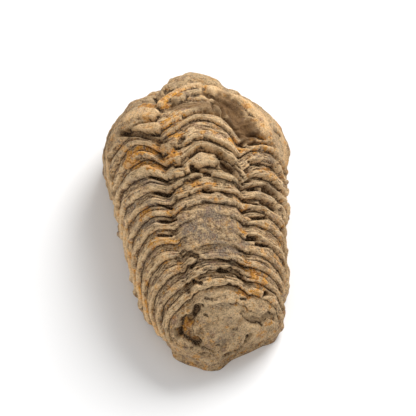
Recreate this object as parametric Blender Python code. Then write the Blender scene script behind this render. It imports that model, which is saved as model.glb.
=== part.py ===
"""A calymenid trilobite turned to stone, its head bent down: one piece of rock, lying on its worn flat
underside.

+Y points to the head, +X to the animal's right and +Z up. The origin is on the surface that it rests on,
under the middle of the body. The shape is a loft of cross-sections, worked out in millimetres and scaled to
metres last. A place on the back is given by its line, counted along the body in segments, and its angle
round from the crest.
"""

import bmesh
import bpy
import numpy as np
from mathutils import Vector, noise

MM = 0.001
NODE = "trilobite_fossil"

# The body is a long dome, highest behind the head (mm).
TOP_Y = 3.8
TOP_Z = 27.0
FRONT_REACH = 26.6
REAR_REACH = 38.5
CREST_POWER = 2.1
LEAST_CREST_FRONT = 3.2
LEAST_CREST_REAR = 7.2
SIDE_POWER = 2.25
HEAD_SIDE_POWER = 1.8
HEAD_SIDE_Y = (14.0, 24.0)
ROLL = 0.10
ROLL_FULL_Z = 8.0
HEAD_Y = 12.0
HEAD_POWER = 1.6
TIP_Y = TOP_Y + FRONT_REACH
TIP_X = 0.4
APEX_X = -3.4
APEX_Y = -34.7

# Half width and middle of the plan outline, from the apex of the tail to the head (mm).
PLAN_Y = (-34.6, -34.1, -33.2, -32.0, -30.5, -28.0, -24.0, -15.0, -5.0, 4.0, HEAD_Y)
PLAN_HALF = (0.7, 2.6, 5.1, 7.7, 10.4, 12.2, 13.7, 15.8, 17.2, 18.0, 19.4)
PLAN_MIDDLE = (APEX_X, -3.5, -3.5, -2.7, -1.4, -1.0, -1.5, -1.5, -1.3, -1.0, -1.2)

# Height of the widest line above the ground, and how far the stone draws in below it (mm).
FOOT_THORAX = 3.5
FOOT_TAIL = 6.6
FOOT_RISES_Y = (-26.0, -32.0)
UNDERCUT = 2.4
UNDERCUT_TAIL = 0.5
UNDERCUT_Y = (-30.0, -22.0)

# Lines: 0 is the rear edge of the head, 0 to 13 the thorax, 13 to 17 the tail shield, 17 to 19 the rear face.
TIP_LINE = -7.0
THORAX_END = 13.0
TAIL_END = 17.0
APEX_LINE = 19.0
LINES = (0.0, 3.5, 5.5, 8.5, 12.5, 13.5, 15.0, TAIL_END, 18.0, APEX_LINE)
LINES_Y = (16.8, 3.8, -2.0, -10.8, -21.3, -23.6, -27.6, -32.2, -33.8, -34.6)

# How far ahead of the crest a line runs on the left flank, on the right flank and at the widest line (mm).
FLANK_LINES = (TIP_LINE, -3.0, 0.0, 2.0, 4.0, 6.0, 8.0, 10.0, 12.0, 14.0, TAIL_END, APEX_LINE)
FLANK_LEFT = (0.0, 0.3, 1.3, 3.1, 4.0, 2.9, 2.1, 1.6, 0.2, -0.2, 0.3, 0.3)
FLANK_RIGHT = (0.0, 0.3, 0.8, 1.1, 1.5, 1.8, 1.4, 1.1, 0.7, 0.5, 0.3, 0.3)
EDGE_LINES = (
    *(TIP_LINE, -5.5, -4.0, -2.0, 0.0, 2.0, 3.0, 4.0, 5.0),
    *(6.0, 7.0, 8.0, 10.0, 12.0, 13.0, 14.0, 16.0, TAIL_END),
)
EDGE_AHEAD = (
    *(0.0, -3.0, -5.5, -6.9, -5.6, -0.3, 2.3, 4.4, 6.0),
    *(4.9, 2.8, 1.4, 0.4, -0.9, -2.1, -1.9, -0.6, 0.8),
)
EDGE_POWER = 5.0
RING_ARCH = 2.2

# The furrows beside the axis: how far round from the crest, how deep and how wide (mm).
FURROW = np.radians(25.0)
FURROW_DEPTH = 1.1
FURROW_WIDTH = 1.8
FURROW_LEFT_ON_TAIL = 0.3
FLANK_SWELL = 0.5
FLANK_SWELL_ANGLE = np.radians(52.0)
FLANK_SWELL_SPREAD = np.radians(20.0)

# One segment along its length: a groove, a low front band, then a raised band that ends in a step (mm).
# Segments fade on the tail shield, on the smooth flanks behind the head, and where they crowd together.
SEGMENT_AT = (0.0, 0.06, 0.13, 0.42, 0.6, 0.8, 0.94, 1.0)
SEGMENT_HEIGHT = (-1.0, -0.9, -0.5, -0.3, 0.3, 0.5, 0.35, -1.0)
SLIP = 0.12
STEP_AT = 0.94
TAIL_FADE = ((13.4, 14.8), (15.6, 16.4))
TAIL_FADE_PART = 0.75
SMOOTH_RIGHT_END = 2.4
SMOOTH_LEFT_END = 1.05
CROWDED = (0.3, 2.2)
RIB_ENDS = np.radians((82.0, 110.0))
GROUND_FADE = np.radians((100.0, 119.0))

# The lines where the front rings end, at the crest and to the sides of the axis: they are uneven, as broken
# ones are.
EDGE_DEGREES = (-37.0, -25.0, -12.0, 0.0, 12.0, 25.0, 37.0)
RING_EDGES = (
    (0.5, 0.6, 0.45, 0.6, 0.9),
    (2.0, 1.8, 1.4, 1.35, 2.05),
    (2.4, 2.3, 1.85, 2.2, 3.0),
    (3.5, 3.45, 3.3, 3.6, 3.9),
    (4.3, 4.7, 4.0, 4.5, 5.2),
    (5.5, 5.7, 5.3, 5.5, 5.9),
    (6.25, 6.2, 6.05, 6.2, 6.3),
    (7.1, 7.2, 7.05, 7.1, 7.1),
)

# The head: its swollen middle lobe with three pairs of side lobes, the eyes, and the raised rim round its
# edge.
LOBE_LINES = (TIP_LINE, -4.6, -3.0, -1.2, 0.0)
LOBE_HALF = (5.0, 5.6, 6.5, 7.7, 8.4)
LOBE_FRONT_Z = 8.0
LOBE_RISE = 0.7
NECK_LINE = -1.2
NECK_LINES = 0.16
NECK_DEPTH = 1.1
NECK_ENDS = np.radians((60.0, 85.0))
RIM_Z = 2.4
RIM_RISE = 0.5
RIM_FURROW_Z = 5.6
RIM_FURROW_DEPTH = 0.9
RIM_HALF = 1.35

# Knobs and swellings on the head: rise, radius (mm), line, degrees.
KNOBS = (
    (0.7, 1.7, -2.4, -58.0),
    (1.0, 1.7, -2.4, 58.0),
    (0.8, 2.2, -1.9, -27.0),
    (0.8, 2.2, -1.9, 27.0),
    (0.7, 1.8, -3.1, -35.0),
    (0.7, 1.8, -3.1, 35.0),
    (0.5, 1.4, -4.1, -39.0),
    (0.5, 1.4, -4.1, 39.0),
)

# Breaks and wear: height (mm, minus is sunk), radius (mm), how much of the rings is gone there (0 to 1) and
# course (line, degrees). Where two meet, the deeper or the higher one counts.
STROKES = (
    # Both shoulders of the head, rubbed down.
    (-2.2, 7.0, 0.0, ((-3.7, 42), (-3.1, 50), (-2.6, 57))),
    (-0.7, 4.0, 0.0, ((-3.6, -46), (-2.8, -36))),
    # The top of the head: the middle lobe and the left cheek, the dip and the arch behind it.
    (-0.5, 2.6, 0.0, ((-4.1, -20), (-3.2, -16))),
    (0.6, 2.6, 0.0, ((-4.4, -62), (-4.9, -68))),
    (-1.0, 1.8, 0.0, ((-0.7, -17), (-1.0, -9))),
    (0.9, 1.2, 0.3, ((0.25, -18), (0.0, -13), (-0.35, -7), (-0.65, -2), (-0.8, 5))),
    # The smooth hollow behind the right side of the head, and the ridge outside it.
    (-1.1, 1.5, 1.0, ((-0.1, 10), (0.3, 14), (0.7, 18))),
    (-1.3, 3.1, 1.0, ((0.9, 22), (1.3, 27), (1.7, 32))),
    (1.2, 1.2, 0.5, ((-0.65, 8), (-0.45, 14), (-0.25, 20), (0.0, 28), (0.5, 34), (1.1, 40), (1.9, 44))),
    (-1.5, 0.9, 0.0, ((2.1, 30), (2.25, 36), (2.3, 45))),
    # The two smooth facets on the left flank, the crack and the cavity beside them, and the knob.
    (0.6, 1.8, 0.9, ((0.5, -42), (0.35, -32), (0.55, -23))),
    (-1.3, 0.8, 0.0, ((0.85, -20), (1.0, -25), (1.1, -31), (1.5, -43))),
    (0.5, 1.3, 0.9, ((1.6, -38), (1.5, -30), (1.5, -23))),
    (-2.2, 1.1, 0.8, ((1.5, -49), (2.0, -42), (2.2, -36), (2.35, -30), (2.55, -24))),
    (0.8, 1.7, 0.9, ((3.0, -23), (3.2, -18))),
    # The gaps behind the first and the fourth ring, and the wedge lost from the fifth.
    (-1.4, 0.8, 0.0, ((1.5, -5), (1.4, 0), (1.35, 10))),
    (-1.6, 0.9, 0.0, ((4.75, -16), (4.5, -9), (3.95, 0), (4.3, 8), (4.55, 12))),
    (-1.6, 1.3, 1.0, ((4.55, 8), (5.0, 13), (5.4, 18))),
    (0.7, 0.9, 0.6, ((4.2, 8), (4.5, 15), (4.8, 20), (5.4, 27))),
    # Holes in the sixth and seventh rings, and gaps beside the axis.
    (-2.0, 1.1, 0.6, ((5.45, -6), (5.6, -3), (5.85, 3))),
    (-1.8, 0.8, 0.3, ((7.05, -1), (7.2, 3))),
    (-1.2, 1.2, 0.7, ((6.3, 44), (6.5, 50), (6.8, 56))),
    (-1.4, 0.8, 0.2, ((7.0, 26), (7.25, 31), (7.55, 37))),
    (-2.0, 0.9, 0.0, ((9.6, 28), (9.8, 34))),
    (-1.1, 1.0, 0.5, ((10.7, -22), (11.0, -16), (11.6, -11))),
    (-1.5, 0.9, 0.2, ((12.95, 3), (12.75, 10), (12.65, 17), (12.8, 20))),
    # The tail shield: a sunk band, a slit and the hollow.
    (-0.6, 1.4, 0.6, ((15.6, 17), (15.3, 36), (14.7, 50))),
    (-1.4, 0.8, 0.0, ((15.95, 55), (16.15, 68), (16.4, 80))),
    (-1.4, 1.9, 1.0, ((14.5, -30), (14.85, -34), (15.1, -39), (15.5, -42), (15.85, -36))),
    # The broken rear face: the rim above it, its upright edge and the recess to the right of that.
    (0.4, 0.8, 0.0, ((15.7, -80), (16.3, -55), (16.6, -27), (18.2, -9))),
    (0.5, 0.8, 0.0, ((18.3, 0), (18.7, 60), (18.7, 105))),
    (-1.2, 1.8, 0.0, ((18.2, 72), (17.8, 85), (17.2, 95))),
)

# Where the margin stands out or back, level with the ground: distance out, radius (mm) and course (line,
# degrees).
MARGIN = (
    (0.45, 3.5, ((-3.0, 72), (-1.5, 76), (-0.6, 86))),
    (-0.5, 1.8, ((4.0, 90), (5.2, 90))),
    (0.7, 1.8, ((6.0, 90), (6.4, 90))),
    (0.6, 2.5, ((9.8, 90), (11.0, 90))),
    (-0.7, 1.5, ((12.2, 95), (12.6, 95))),
    (0.4, 1.2, ((13.4, 105), (13.6, 100))),
    (-0.9, 2.6, ((14.8, 110), (15.5, 110), (16.2, 110), (17.1, 110))),
    (-0.3, 1.8, ((15.0, 118), (15.8, 118), (16.4, 118))),
    (-0.6, 2.5, ((15.6, -112), (16.9, -112))),
    (-0.9, 1.6, ((14.1, -100), (14.5, -108))),
    (-0.7, 1.8, ((13.3, -118), (13.9, -118))),
    (0.5, 2.8, ((9.3, -96), (11.3, -96))),
    (0.7, 1.6, ((6.1, -95), (6.3, -95))),
    (-0.5, 1.6, ((4.3, -95), (5.4, -95))),
    (0.5, 1.6, ((0.2, -95), (2.0, -95))),
    (0.7, 2.0, ((-4.5, -70), (-5.1, -70))),
    (-0.5, 2.0, ((-3.5, -70), (-3.1, -72))),
)
MARGIN_FROM = np.radians((60.0, 82.0))

# The bald patch on the axis, where the rings are rubbed away.
WORN_LINE = 9.6
WORN_LINES = 1.7
WORN_ANGLE = np.radians(2.0)
WORN_SPREAD = np.radians(25.0)
WORN_PART = 0.8

# Unevenness of the broken stone (mm).
SWELL = 0.5
SWELL_ACROSS = 9.0
ROUGH = 0.3
ROUGH_ACROSS = 2.6

# Where the mesh is cut: places in a segment, lines on the head and the tail, degrees round the back.
CUTS = (0.03, 0.13, 0.42, 0.6, 0.8, 0.94)
CUT_SEGMENTS = 16
LEAST_HEIGHT = 0.05
NEARBY = 0.015
HEAD_CUTS = (
    *(-6.7, -6.3, -5.9, -5.5, -5.1, -4.6, -4.1, -3.6, -3.1),
    *(-2.7, -2.3, -1.9, -1.5, -1.25, -1.0, -0.7, -0.35),
)
TAIL_CUTS = (16.03, 16.3, 16.6, 16.9, 17.2, 17.6, 18.0, 18.5, 18.9)
HALF_TURN = (
    *(6.0, 12.0, 17.0, 21.0, 25.0, 29.0, 34.0, 41.0, 49.0),
    *(57.0, 65.0, 73.0, 81.0, 89.0, 97.0, 108.0, 120.0),
)
UNDER_STEPS = 4


def through(stations, values, at):
    """A smooth curve through the values at the stations."""
    stations, values = np.asarray(stations, float), np.asarray(values, float)
    slope = np.gradient(values, stations)
    at = np.clip(at, stations[0], stations[-1])
    i = np.clip(np.searchsorted(stations, at) - 1, 0, len(stations) - 2)
    step = stations[i + 1] - stations[i]
    u = (at - stations[i]) / step
    rise = u * u * (3 - 2 * u)
    return (
        values[i] * (1 - rise)
        + values[i + 1] * rise
        + step * slope[i] * u * (1 - u) ** 2
        - step * slope[i + 1] * u * u * (1 - u)
    )


def smooth(low, high, value):
    """0 below low and 1 above high, with a smooth rise between them."""
    part = np.clip((value - low) / (high - low), 0, 1)
    return part * part * (3 - 2 * part)


def bump(value, middle, width):
    return np.exp(-(((value - middle) / width) ** 2))


def superellipse(part, power):
    return (1 - np.clip(part, 0, 1) ** power) ** (1 / power)


def crest_height(y):
    ahead = TOP_Z * superellipse((y - TOP_Y) / FRONT_REACH, CREST_POWER)
    behind = TOP_Z * superellipse((TOP_Y - y) / REAR_REACH, CREST_POWER)
    dome = np.where(y > TOP_Y, ahead, behind)
    least = np.where(y > TOP_Y, LEAST_CREST_FRONT, LEAST_CREST_REAR)
    return (dome**4 + least**4) ** 0.25


def half_width(y):
    head = PLAN_HALF[-1] * superellipse((y - HEAD_Y) / (TIP_Y - HEAD_Y), HEAD_POWER)
    return np.where(y > HEAD_Y, head, through(PLAN_Y, PLAN_HALF, y))


def middle_x(y):
    return through((*PLAN_Y, TIP_Y), (*PLAN_MIDDLE, TIP_X), y)


def foot_height(y):
    foot = FOOT_THORAX + (FOOT_TAIL - FOOT_THORAX) * (1 - smooth(FOOT_RISES_Y[1], FOOT_RISES_Y[0], y))
    return np.minimum(foot, 0.6 * crest_height(y))


def line_y(line):
    """Where a line crosses the crest. On the head, the lines are spaced by angle, down to the tip."""
    start = np.arcsin((LINES_Y[0] - TOP_Y) / FRONT_REACH)
    angle = start + (np.pi / 2 - start) * np.clip(line / TIP_LINE, 0, 1)
    return np.where(line < 0, TOP_Y + FRONT_REACH * np.sin(angle), through(LINES, LINES_Y, line))


def back_point(line, angle):
    """The smooth dome at a line and an angle, in mm. Beyond a quarter turn it draws in to the ground."""
    turn = np.abs(angle)
    at_edge = np.minimum(turn / (np.pi / 2), 1) ** EDGE_POWER
    left, right = through(FLANK_LINES, FLANK_LEFT, line), through(FLANK_LINES, FLANK_RIGHT, line)
    flank = np.where(angle < 0, left, right)
    ahead = flank * smooth(0.85 * FURROW, 1.7 * FURROW, turn) * (1 - at_edge)
    ahead = ahead + through(EDGE_LINES, EDGE_AHEAD, line) * at_edge
    y = line_y(line) + ahead - RING_ARCH * np.minimum(turn / FURROW, 1) ** 2 * smooth(-6, -1, line)
    y = np.clip(y, APEX_Y + 0.1, TIP_Y)
    below = np.clip((turn - np.pi / 2) / (np.pi / 6), 0, 1)
    turn = np.minimum(turn, np.pi / 2)
    foot = foot_height(y)
    power = SIDE_POWER + (HEAD_SIDE_POWER - SIDE_POWER) * smooth(*HEAD_SIDE_Y, y)
    undercut = UNDERCUT_TAIL + (UNDERCUT - UNDERCUT_TAIL) * smooth(*UNDERCUT_Y, y)
    reach = half_width(y) * np.sin(turn) ** (2 / power) - undercut * below**2 * smooth(0, 6, half_width(y))
    x = np.sign(angle) * reach
    z = foot + (crest_height(y) - foot) * np.cos(turn) ** (2 / power)
    z = np.where(below > 0, foot * (1 - below), z)
    z = z - ROLL * x * np.clip(z / ROLL_FULL_Z, 0, 1)
    return np.stack([middle_x(y) + x, y, z], -1)


def unit(vectors):
    return vectors / np.maximum(np.linalg.norm(vectors, axis=-1, keepdims=True), 1e-9)


def outward(line, angle):
    """The direction out of the dome, the direction to its rear, and the spacing of the lines in mm."""
    rear = (back_point(line + NEARBY, angle) - back_point(line - NEARBY, angle)) / (2 * NEARBY)
    sideways = back_point(line, angle + NEARBY) - back_point(line, angle - NEARBY)
    spacing = np.linalg.norm(rear, axis=-1)
    return unit(np.cross(rear, sideways)), unit(rear), spacing


def distance_to(course, point):
    """Distance in mm from each point to a course of (line, degrees) places on the dome."""
    line, degrees = np.array(course).T
    stops = back_point(line, np.radians(degrees))
    nearest = np.full(point.shape[:-1], np.inf)
    for start, end in zip(stops, stops[1:]):
        along = end - start
        part = np.clip(((point - start) @ along) / (along @ along), 0, 1)
        nearest = np.minimum(nearest, np.linalg.norm(point - start - part[..., None] * along, axis=-1))
    return nearest


def axis_half_width(line, y):
    head = through(LOBE_LINES, LOBE_HALF, line)
    return np.where(line < 0, head, half_width(y) * np.sin(FURROW) ** (2 / SIDE_POWER))


def axis_relief(line, angle, point):
    """The furrows beside the axis, the swell of the flanks, and the middle lobe of the head."""
    turn = np.abs(angle)
    lateral = np.abs(point[..., 0] - middle_x(point[..., 1]))
    side = axis_half_width(line, point[..., 1])
    in_head = 1 - smooth(-1.4, 0.3, line)
    depth = FURROW_DEPTH * (1 - (1 - FURROW_LEFT_ON_TAIL) * smooth(THORAX_END, TAIL_END - 0.5, line))
    ahead_of_lobe = in_head * (1 - smooth(LOBE_FRONT_Z - 2, LOBE_FRONT_Z + 1, point[..., 2]))
    relief = -depth * bump(lateral, side, FURROW_WIDTH) * (1 - ahead_of_lobe)
    relief = relief + FLANK_SWELL * bump(turn, FLANK_SWELL_ANGLE, FLANK_SWELL_SPREAD) * smooth(-1, 2, line)
    lobe = (1 - smooth(0.6, 1.0, lateral / side)) * (1 - ahead_of_lobe)
    relief = relief + LOBE_RISE * lobe * in_head
    return relief - NECK_DEPTH * bump(line, NECK_LINE, NECK_LINES) * (1 - smooth(*NECK_ENDS, turn))


def ring_phase(line, angle):
    """The line as the rings count it: a whole number at the rear edge of each ring."""
    stations = np.radians(EDGE_DEGREES)
    edges = [through(stations, (ring, *row, ring), angle) for ring, row in enumerate(RING_EDGES)]
    phase = np.minimum(line - edges[0], 0) + np.maximum(line - len(RING_EDGES), 0)
    for front, rear in zip(edges, [*edges[1:], len(RING_EDGES)]):
        phase = phase + np.clip((line - front) / (rear - front), 0, 1)
    return phase


def segment_relief(line, angle, spacing):
    """The rings and ribs: fainter on the tail shield, where worn, and where the segments crowd together."""
    fade, end = TAIL_FADE
    amount = smooth(-0.2, 0.1, line) * (1 - TAIL_FADE_PART * smooth(*fade, line)) * (1 - smooth(*end, line))
    on_right, on_left = smooth(FURROW, 1.35 * FURROW, angle), smooth(FURROW, 1.35 * FURROW, -angle)
    amount = amount * (1 - on_right * (1 - smooth(SMOOTH_RIGHT_END - 0.3, SMOOTH_RIGHT_END + 0.3, line)))
    amount = amount * (1 - on_left * (1 - smooth(SMOOTH_LEFT_END - 0.15, SMOOTH_LEFT_END + 0.15, line)))
    far = ((line - WORN_LINE) / WORN_LINES) ** 2 + ((angle - WORN_ANGLE) / WORN_SPREAD) ** 2
    amount = amount * (1 - WORN_PART * np.exp(-(far**2)))
    amount = amount * smooth(*CROWDED, spacing) * (1 - smooth(*RIB_ENDS, np.abs(angle)))
    return amount * np.interp(line % 1, SEGMENT_AT, SEGMENT_HEIGHT), amount


def head_relief(line, angle, point):
    """The raised rim round the head, its eyes and its side lobes."""
    on_head = 1 - smooth(-1.6, -0.4, line)
    height = point[..., 2]
    rim = RIM_RISE * bump(height, RIM_Z, RIM_HALF) - RIM_FURROW_DEPTH * bump(height, RIM_FURROW_Z, RIM_HALF)
    relief = rim * on_head * (1 - smooth(np.radians(98), np.radians(112), np.abs(angle)))
    for rise, radius, knob_line, degrees in KNOBS:
        centre = back_point(np.array(knob_line), np.radians(degrees))
        relief = relief + rise * bump(np.linalg.norm(point - centre, axis=-1), 0, radius)
    return relief


def breaks(point):
    """The relief of the breaks, and how much of the rings they leave."""
    raised = np.zeros(point.shape[:-1])
    lowered = np.zeros(point.shape[:-1])
    left = np.ones(point.shape[:-1])
    for height, radius, wipe, course in STROKES:
        inside = 1 - smooth(0.4, 1, distance_to(course, point) / radius)
        raised = np.maximum(raised, height * inside)
        lowered = np.minimum(lowered, height * inside)
        left = left * (1 - wipe * inside)
    return raised + lowered, left


def margin_shift(point, angle):
    reach = np.zeros(point.shape[:-1])
    for distance, radius, course in MARGIN:
        reach = reach + distance * (1 - smooth(0.2, 1.1, distance_to(course, point) / radius))
    return reach * smooth(*MARGIN_FROM, np.abs(angle))


def unevenness(point):
    flat = point.reshape(-1, 3)
    swell = [noise.noise(Vector(place / SWELL_ACROSS)) for place in flat]
    rough = [noise.fractal(Vector(place / ROUGH_ACROSS), 0.9, 2.1, 2) for place in flat]
    return np.reshape(SWELL * np.array(swell) + ROUGH * np.array(rough), point.shape[:-1])


def surface(line, angle):
    """The finished surface in mm. The cut at the ground keeps to the ground."""
    point = back_point(line, angle)
    out, rear, spacing = outward(line, angle)
    phase = ring_phase(line, angle)
    segments, amount = segment_relief(phase, angle, spacing)
    broken, left = breaks(point)
    relief = left * (segments + axis_relief(line, angle, point))
    relief = relief + head_relief(line, angle, point) + broken + unevenness(point)
    relief = relief * (1 - smooth(*GROUND_FADE, np.abs(angle))) * smooth(0.3, 3.5, half_width(point[..., 1]))
    slip = SLIP * left * amount * bump(phase % 1, STEP_AT, 0.12)
    place = point + out * relief[..., None] + rear * slip[..., None]
    place = place + unit(out * (1, 1, 0)) * margin_shift(point, angle)[..., None]
    place[..., 2] = np.where(np.abs(angle) > GROUND_FADE[1], 0, np.maximum(place[..., 2], LEAST_HEIGHT))
    return place


def mesh_lines():
    segments = [count + cut for count in range(CUT_SEGMENTS) for cut in CUTS]
    return np.array([*HEAD_CUTS, *segments, *TAIL_CUTS])


def mesh_rings():
    """Closed rings of points from the head's tip to the tail's apex, each carried on across the underside."""
    turns = np.radians([-degrees for degrees in reversed(HALF_TURN)] + [0.0] + list(HALF_TURN))
    line, angle = np.meshgrid(mesh_lines(), turns, indexing="ij")
    back = surface(line, angle)
    part = (np.arange(1, UNDER_STEPS) / UNDER_STEPS)[None, :, None]
    under = back[:, -1:, :] * (1 - part) + back[:, :1, :] * part
    return np.concatenate([back, under], axis=1)


def build_mesh(rings):
    """Quads between the rings, and a fan of triangles at each end."""
    shape = bmesh.new()
    middle = (rings.reshape(-1, 3).min(0) + rings.reshape(-1, 3).max(0)) / 2
    rings = (rings - [middle[0], middle[1], 0]) * MM
    made = [[shape.verts.new(place) for place in ring] for ring in rings]
    for ahead, behind in zip(made, made[1:]):
        for here in range(len(ahead)):
            on = (here + 1) % len(ahead)
            shape.faces.new((ahead[here], ahead[on], behind[on], behind[here]))
    for ring, places in ((made[0], rings[0]), (made[-1], rings[-1])):
        centre = shape.verts.new(places.mean(0))
        for here in range(len(ring)):
            shape.faces.new((ring[here], ring[(here + 1) % len(ring)], centre))
    bmesh.ops.recalc_face_normals(shape, faces=shape.faces)
    return shape


def stone():
    material = bpy.data.materials.new("brown_limestone")
    material.use_nodes = True
    shader = material.node_tree.nodes["Principled BSDF"]
    shader.inputs["Base Color"].default_value = (0.30, 0.20, 0.115, 1.0)
    shader.inputs["Roughness"].default_value = 0.85
    return material


def main():
    for leftover in list(bpy.data.objects):
        bpy.data.objects.remove(leftover)
    collection = bpy.data.collections.new(NODE)
    bpy.context.scene.collection.children.link(collection)
    shape = build_mesh(mesh_rings())
    mesh = bpy.data.meshes.new(NODE)
    shape.to_mesh(mesh)
    shape.free()
    mesh.materials.append(stone())
    mesh.shade_smooth()
    fossil = bpy.data.objects.new(NODE, mesh)
    collection.objects.link(fossil)


main()
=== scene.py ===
"""The looks of the trilobite fossil: its stone in full detail, a pale floor, studio light and the camera.

The dome is the part's. A place on it is given by its line, counted in segments from the rear edge of the
head, and by its angle round from the crest. Shapes are worked out in millimetres and scaled to metres last.
"""

import math

import bpy
import numpy as np
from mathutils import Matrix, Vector, noise


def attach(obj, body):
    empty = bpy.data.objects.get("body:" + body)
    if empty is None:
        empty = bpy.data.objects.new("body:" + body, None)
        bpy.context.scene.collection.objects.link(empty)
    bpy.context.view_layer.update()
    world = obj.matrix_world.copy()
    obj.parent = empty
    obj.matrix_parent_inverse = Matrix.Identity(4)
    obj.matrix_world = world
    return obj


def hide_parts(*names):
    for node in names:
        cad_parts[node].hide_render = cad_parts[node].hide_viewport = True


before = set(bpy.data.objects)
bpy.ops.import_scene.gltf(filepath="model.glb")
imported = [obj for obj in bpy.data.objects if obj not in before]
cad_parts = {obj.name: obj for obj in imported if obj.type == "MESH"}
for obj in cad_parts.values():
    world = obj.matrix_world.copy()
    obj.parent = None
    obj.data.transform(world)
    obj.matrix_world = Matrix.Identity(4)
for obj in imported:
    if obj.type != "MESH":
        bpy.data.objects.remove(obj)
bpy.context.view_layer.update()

MM = 0.001
NODE = "trilobite_fossil"
QUARTER = math.radians(90.0)
TINY = 1e-9

# ---- the dome, as in the part
# The body is a long dome, highest behind the head (mm).
TOP_Y = 3.8
TOP_Z = 27.0
FRONT_REACH = 26.6
REAR_REACH = 38.5
CREST_POWER = 2.1
LEAST_CREST_FRONT = 3.2
LEAST_CREST_REAR = 7.2
SIDE_POWER = 2.25
HEAD_SIDE_POWER = 1.8
HEAD_SIDE_Y = (14.0, 24.0)
ROLL = 0.10
ROLL_FULL_Z = 8.0
HEAD_Y = 12.0
HEAD_POWER = 1.6
TIP_Y = TOP_Y + FRONT_REACH
TIP_X = 0.4
APEX_X = -3.4
APEX_Y = -34.7
REARMOST_Y = APEX_Y + 0.1
# Half width and middle of the plan outline, from the apex of the tail to the head (mm).
PLAN_Y = (-34.6, -34.1, -33.2, -32.0, -30.5, -28.0, -24.0, -15.0, -5.0, 4.0, HEAD_Y)
PLAN_HALF = (0.7, 2.6, 5.1, 7.7, 10.4, 12.2, 13.7, 15.8, 17.2, 18.0, 19.4)
PLAN_MIDDLE = (APEX_X, -3.5, -3.5, -2.7, -1.4, -1.0, -1.5, -1.5, -1.3, -1.0, -1.2)
# The middle of the stone in plan, which stands over the origin (mm).
MIDDLE_OF_LOFT = (-0.708, -2.109)
# Height of the widest line above the ground, and how far the stone draws in below it (mm).
FOOT_THORAX = 3.5
FOOT_TAIL = 6.6
FOOT_RISES_Y = (-26.0, -32.0)
FOOT_MOST = 0.6
GROUND_ANGLE = math.radians(120.0)
UNDERCUT = 2.4
UNDERCUT_TAIL = 0.5
UNDERCUT_Y = (-30.0, -22.0)
UNDERCUT_HALF_WIDTH = (0.0, 6.0)
# Lines: 0 is the head's rear edge, 0 to 13 the thorax, 13 to 17 the tail shield, 17 to 19 the rear face.
TIP_LINE = -7.0
THORAX_END = 13.0
TAIL_END = 17.0
APEX_LINE = 19.0
LINES = (0.0, 3.5, 5.5, 8.5, 12.5, 13.5, 15.0, TAIL_END, 18.0, APEX_LINE)
LINES_Y = (16.8, 3.8, -2.0, -10.8, -21.3, -23.6, -27.6, -32.2, -33.8, -34.6)
# How far ahead of the crest a line runs on the left flank, the right flank and the widest line (mm).
FLANK_LINES = (TIP_LINE, -3.0, 0.0, 2.0, 4.0, 6.0, 8.0, 10.0, 12.0, 14.0, TAIL_END, APEX_LINE)
FLANK_LEFT = (0.0, 0.3, 1.3, 3.1, 4.0, 2.9, 2.1, 1.6, 0.2, -0.2, 0.3, 0.3)
FLANK_RIGHT = (0.0, 0.3, 0.8, 1.1, 1.5, 1.8, 1.4, 1.1, 0.7, 0.5, 0.3, 0.3)
EDGE_LINES = (
    *(TIP_LINE, -5.5, -4.0, -2.0, 0.0, 2.0, 3.0, 4.0, 5.0),
    *(6.0, 7.0, 8.0, 10.0, 12.0, THORAX_END, 14.0, 16.0, TAIL_END),
)
EDGE_AHEAD = (
    *(0.0, -3.0, -5.5, -6.9, -5.6, -0.3, 2.3, 4.4, 6.0),
    *(4.9, 2.8, 1.4, 0.4, -0.9, -2.1, -1.9, -0.6, 0.8),
)
EDGE_POWER = 5.0
RING_ARCH = 2.2
RING_ARCH_FROM = (-6.0, -1.0)
# The furrows beside the axis: how far round from the crest. The flanks lie outside them.
FURROW = math.radians(25.0)
AHEAD_FROM = (0.85 * FURROW, 1.7 * FURROW)
FLANK_FROM = (FURROW, 1.35 * FURROW)
NEARBY = 0.015


def through(stations, values, at):
    """A smooth curve through the values at the stations."""
    stations, values = np.asarray(stations, float), np.asarray(values, float)
    slope = np.gradient(values, stations)
    at = np.clip(at, stations[0], stations[-1])
    i = np.clip(np.searchsorted(stations, at) - 1, 0, len(stations) - 2)
    step = stations[i + 1] - stations[i]
    u = (at - stations[i]) / step
    rise = u * u * (3 - 2 * u)
    return (
        values[i] * (1 - rise)
        + values[i + 1] * rise
        + step * slope[i] * u * (1 - u) ** 2
        - step * slope[i + 1] * u * u * (1 - u)
    )


def smooth(low, high, value):
    """0 below low and 1 above high, with a smooth rise between them."""
    part = np.clip((value - low) / (high - low), 0, 1)
    return part * part * (3 - 2 * part)


def bump(value, middle, width):
    return np.exp(-(((value - middle) / width) ** 2))


def no_less(least, part):
    """Rises from the least to 1 as the part rises from 0 to 1."""
    return least + (1 - least) * part


def superellipse(part, power):
    return (1 - np.clip(part, 0, 1) ** power) ** (1 / power)


def unit(vectors):
    return vectors / np.maximum(np.linalg.norm(vectors, axis=-1, keepdims=True), TINY)


def crest_height(y):
    ahead = TOP_Z * superellipse((y - TOP_Y) / FRONT_REACH, CREST_POWER)
    behind = TOP_Z * superellipse((TOP_Y - y) / REAR_REACH, CREST_POWER)
    dome = np.where(y > TOP_Y, ahead, behind)
    least = np.where(y > TOP_Y, LEAST_CREST_FRONT, LEAST_CREST_REAR)
    return (dome**4 + least**4) ** 0.25


def half_width(y):
    head = PLAN_HALF[-1] * superellipse((y - HEAD_Y) / (TIP_Y - HEAD_Y), HEAD_POWER)
    return np.where(y > HEAD_Y, head, through(PLAN_Y, PLAN_HALF, y))


def middle_x(y):
    return through((*PLAN_Y, TIP_Y), (*PLAN_MIDDLE, TIP_X), y)


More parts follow.
